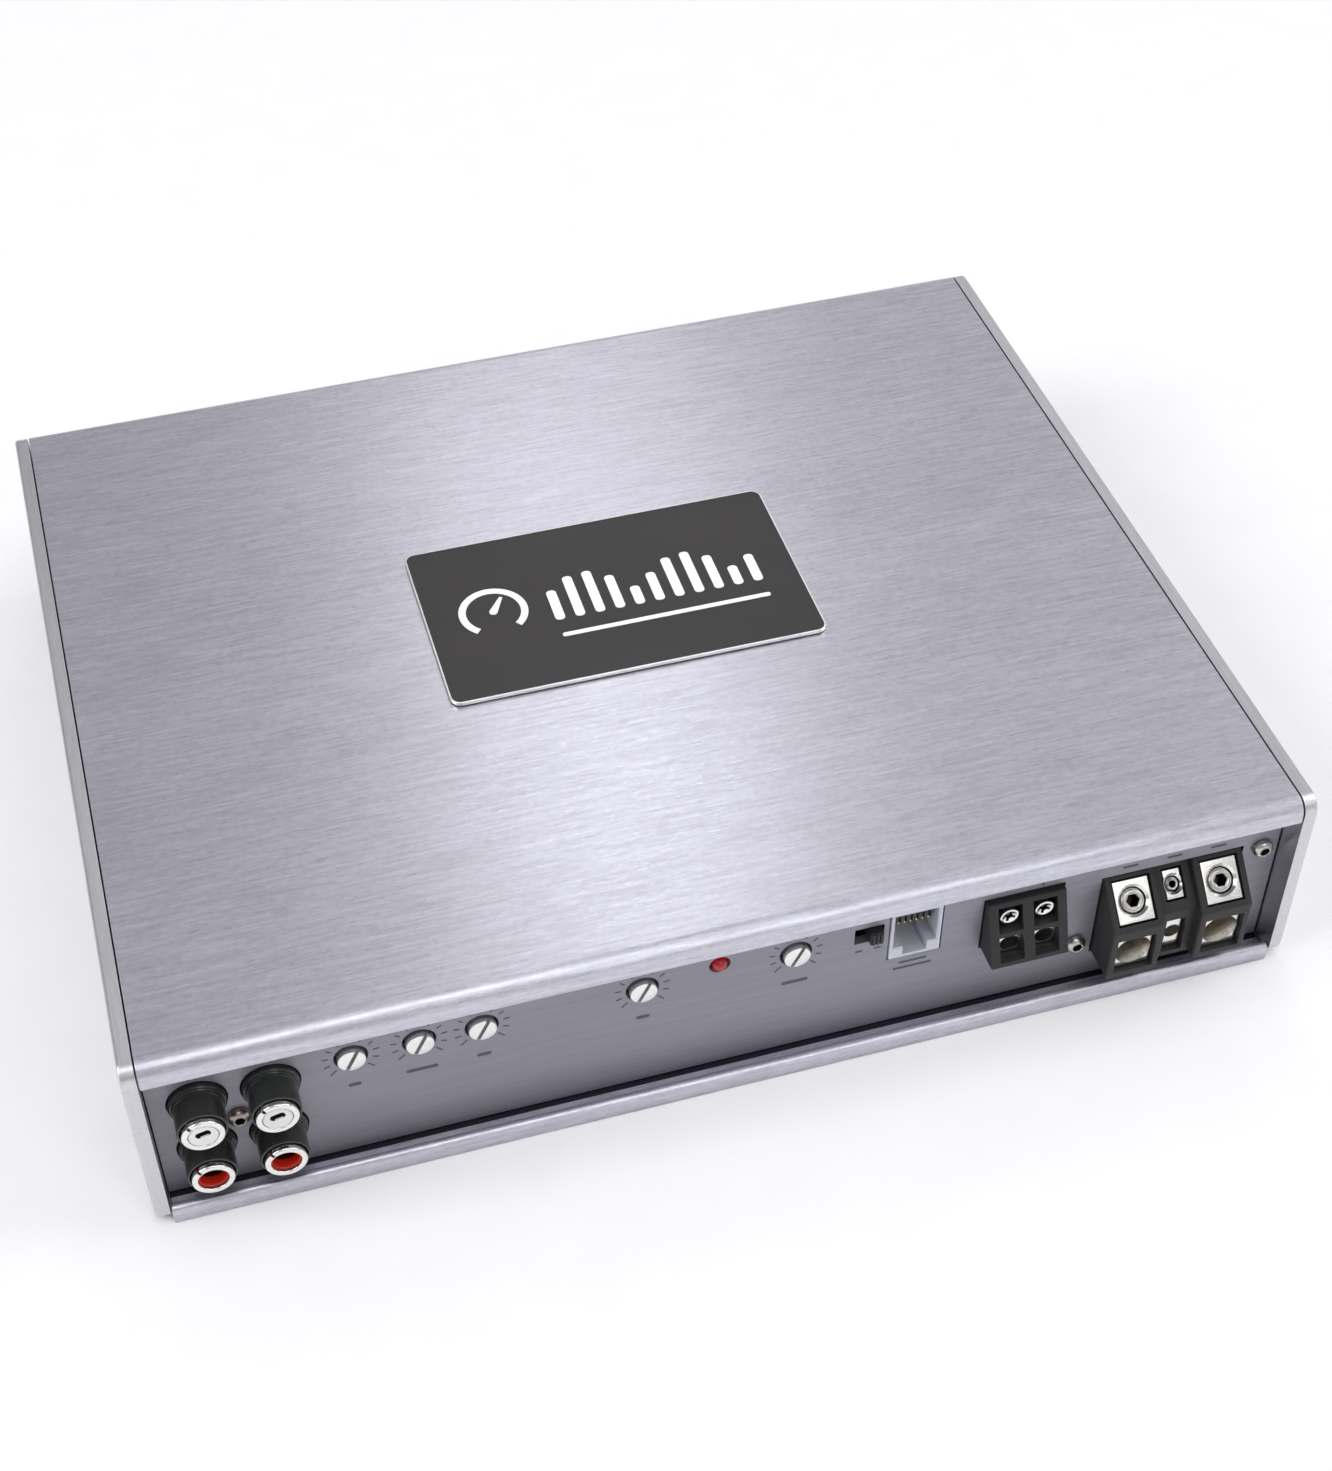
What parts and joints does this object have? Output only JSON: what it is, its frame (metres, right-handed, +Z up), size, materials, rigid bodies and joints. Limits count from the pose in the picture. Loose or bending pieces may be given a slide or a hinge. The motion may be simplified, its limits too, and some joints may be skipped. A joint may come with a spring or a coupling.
{
  "type": "car amplifier",
  "caption": "Low brushed aluminium car amplifier: extruded case between end caps, recessed panel with signal sockets, trimmers, switch, indicator, remote jack and screw terminals.",
  "frame": {"origin": "centre of the footprint on the mounting plane", "axes": "+X along the width towards the power terminals' side, +Z up, -Y towards the connector side"},
  "size_m": [0.24, 0.1986, 0.0491],
  "materials": {
    "brushed_aluminium": "brushed along the width, clear anodised",
    "anodised_panel": "satin grey-violet anodised",
    "charcoal_badge": "satin charcoal with a bright bevelled rim",
    "black_plastic": "moulded, satin",
    "bright_nickel": "bright nickel plate",
    "dark_steel": "dull zinc plate",
    "white_plastic": "moulded",
    "red_plastic": "moulded",
    "red_lens": "clear tinted",
    "pale_plastic": "moulded",
    "green_laminate": "solder mask",
    "copper_winding": "enamelled wire",
    "capacitor_sleeve": "heat-shrunk sleeve"
  },
  "bodies": {
    "root": {"badge_plate": "charcoal_badge", "base_tray": "brushed_aluminium", "cap_screw_left_1": "dark_steel", "cap_screw_left_2": "dark_steel", "cap_screw_left_3": "dark_steel", "cap_screw_left_4": "dark_steel", "cap_screw_right_1": "dark_steel", "cap_screw_right_2": "dark_steel", "cap_screw_right_3": "dark_steel", "cap_screw_right_4": "dark_steel", "control_board": "green_laminate", "end_cap_left": "brushed_aluminium", "end_cap_right": "brushed_aluminium", "filter_capacitor_1": "capacitor_sleeve", "filter_capacitor_2": "capacitor_sleeve", "front_panel": "anodised_panel", "heatsink_shell": "brushed_aluminium", "main_board": "green_laminate", "output_inductor": "copper_winding", "panel_screw_middle": "bright_nickel", "panel_screw_right": "bright_nickel", "power_clamp_battery": "bright_nickel", "power_clamp_ground": "bright_nickel", "power_clamp_remote": "bright_nickel", "power_led": "red_lens", "power_terminal_block": "black_plastic", "power_transformer": "copper_winding", "power_transistor_1": "black_plastic", "power_transistor_2": "black_plastic", "remote_jack": "pale_plastic", "slide_switch_body": "black_plastic", "socket_block": "black_plastic", "socket_block_screw": "dark_steel", "socket_insert_red_1": "red_plastic", "socket_insert_red_2": "red_plastic", "socket_insert_white_1": "white_plastic", "socket_insert_white_2": "white_plastic", "socket_shell_1": "bright_nickel", "socket_shell_2": "bright_nickel", "socket_shell_3": "bright_nickel", "socket_shell_4": "bright_nickel", "speaker_clamp_1": "bright_nickel", "speaker_clamp_2": "bright_nickel", "speaker_terminal_block": "black_plastic", "trimmer_pot_equaliser": "black_plastic", "trimmer_pot_highpass": "black_plastic", "trimmer_pot_level": "black_plastic", "trimmer_pot_lowpass": "black_plastic", "trimmer_pot_phase": "black_plastic"},
    "trimmer_knob_lowpass": {"trimmer_knob_lowpass": "bright_nickel"},
    "trimmer_knob_phase": {"trimmer_knob_phase": "bright_nickel"},
    "trimmer_knob_equaliser": {"trimmer_knob_equaliser": "bright_nickel"},
    "trimmer_knob_highpass": {"trimmer_knob_highpass": "bright_nickel"},
    "trimmer_knob_level": {"trimmer_knob_level": "bright_nickel"},
    "slide_switch_knob": {"slide_switch_knob": "black_plastic"},
    "power_screw_ground": {"power_screw_ground": "bright_nickel"},
    "power_screw_remote": {"power_screw_remote": "bright_nickel"},
    "power_screw_battery": {"power_screw_battery": "bright_nickel"},
    "speaker_screw_1": {"speaker_screw_1": "bright_nickel"},
    "speaker_screw_2": {"speaker_screw_2": "bright_nickel"}
  },
  "joints": [
    {"name": "lowpass_turn", "type": "hinge", "parent": "root", "child": "trimmer_knob_lowpass", "pos_m": [-0.0778, -0.0919, 0.031], "axis": [0, 1, 0], "range_deg": [-161, 109]},
    {"name": "phase_turn", "type": "hinge", "parent": "root", "child": "trimmer_knob_phase", "pos_m": [-0.0645, -0.0919, 0.031], "axis": [0, 1, 0], "range_deg": [-161, 109]},
    {"name": "equaliser_turn", "type": "hinge", "parent": "root", "child": "trimmer_knob_equaliser", "pos_m": [-0.0522, -0.0919, 0.031], "axis": [0, 1, 0], "range_deg": [-161, 109]},
    {"name": "highpass_turn", "type": "hinge", "parent": "root", "child": "trimmer_knob_highpass", "pos_m": [-0.02, -0.0919, 0.031], "axis": [0, 1, 0], "range_deg": [-161, 109]},
    {"name": "level_turn", "type": "hinge", "parent": "root", "child": "trimmer_knob_level", "pos_m": [0.0116, -0.0919, 0.031], "axis": [0, 1, 0], "range_deg": [-161, 109]},
    {"name": "input_switch_slide", "type": "slide", "parent": "root", "child": "slide_switch_knob", "axis": [-1, 0, 0], "range_m": [0, 0.0024]},
    {"name": "ground_screw_turn", "type": "hinge", "parent": "root", "child": "power_screw_ground", "pos_m": [0.0832, -0.09409, 0.02722], "axis": [0, 0.7071, -0.7071], "range_deg": [-720, 180]},
    {"name": "remote_screw_turn", "type": "hinge", "parent": "root", "child": "power_screw_remote", "pos_m": [0.093, -0.09198, 0.02694], "axis": [0, 0.7071, -0.7071], "range_deg": [-720, 180]},
    {"name": "battery_screw_turn", "type": "hinge", "parent": "root", "child": "power_screw_battery", "pos_m": [0.1028, -0.09409, 0.02722], "axis": [0, 0.7071, -0.7071], "range_deg": [-720, 180]},
    {"name": "speaker_screw_1_turn", "type": "hinge", "parent": "root", "child": "speaker_screw_1", "pos_m": [0.0564, -0.0929, 0.0296], "axis": [0, 1, 0], "range_deg": [-720, 180]},
    {"name": "speaker_screw_2_turn", "type": "hinge", "parent": "root", "child": "speaker_screw_2", "pos_m": [0.064, -0.0929, 0.0296], "axis": [0, 1, 0], "range_deg": [-720, 180]}
  ]
}
